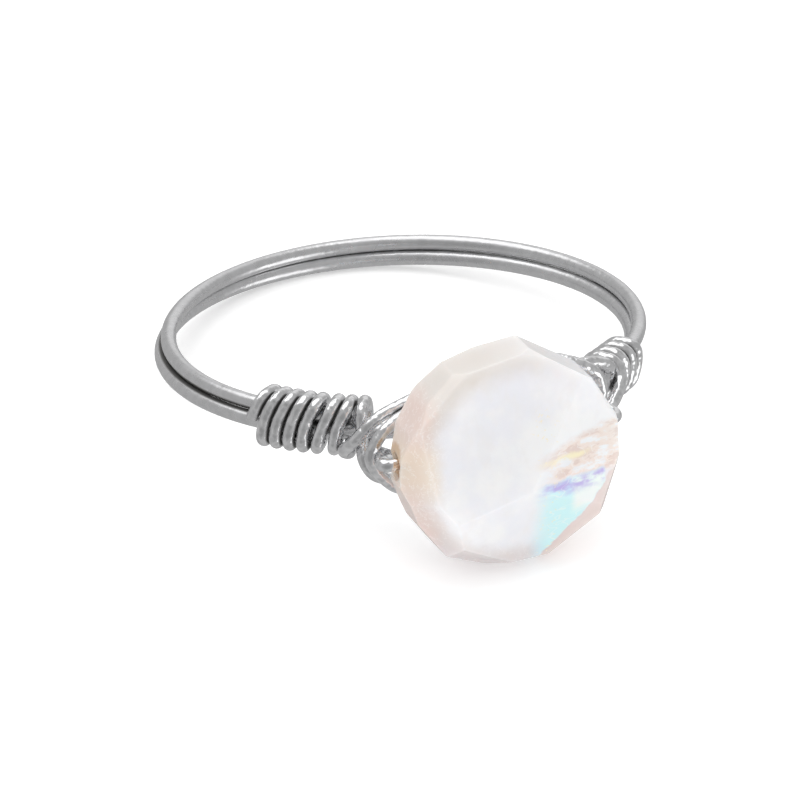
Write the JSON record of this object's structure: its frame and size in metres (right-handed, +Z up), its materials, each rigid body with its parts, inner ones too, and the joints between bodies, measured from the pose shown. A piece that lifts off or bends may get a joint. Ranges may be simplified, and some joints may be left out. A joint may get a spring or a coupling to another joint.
{
  "type": "finger ring",
  "caption": "Wire-wrapped finger ring: stacked round silver band wires, bound by a thinner coiled wire that carries a drilled, faceted moonstone bead.",
  "frame": {"origin": "middle of the part's footprint on the surface that it lies on", "axes": "+Z up from the surface, -Y toward the bead, +X across the ring; the finger axis leans 11.5 degrees from +Z toward +Y"},
  "size_m": [0.0196, 0.024, 0.0088],
  "materials": {
    "band_silver": "bright drawn silver wire with faint scratches",
    "binding_silver": "bright drawn silver wire",
    "moonstone": "polished milky stone with a blue and pink sheen"
  },
  "bodies": {
    "root": {"band_wire": "band_silver", "binding_wire": "binding_silver", "moonstone_bead": "moonstone"}
  },
  "joints": []
}
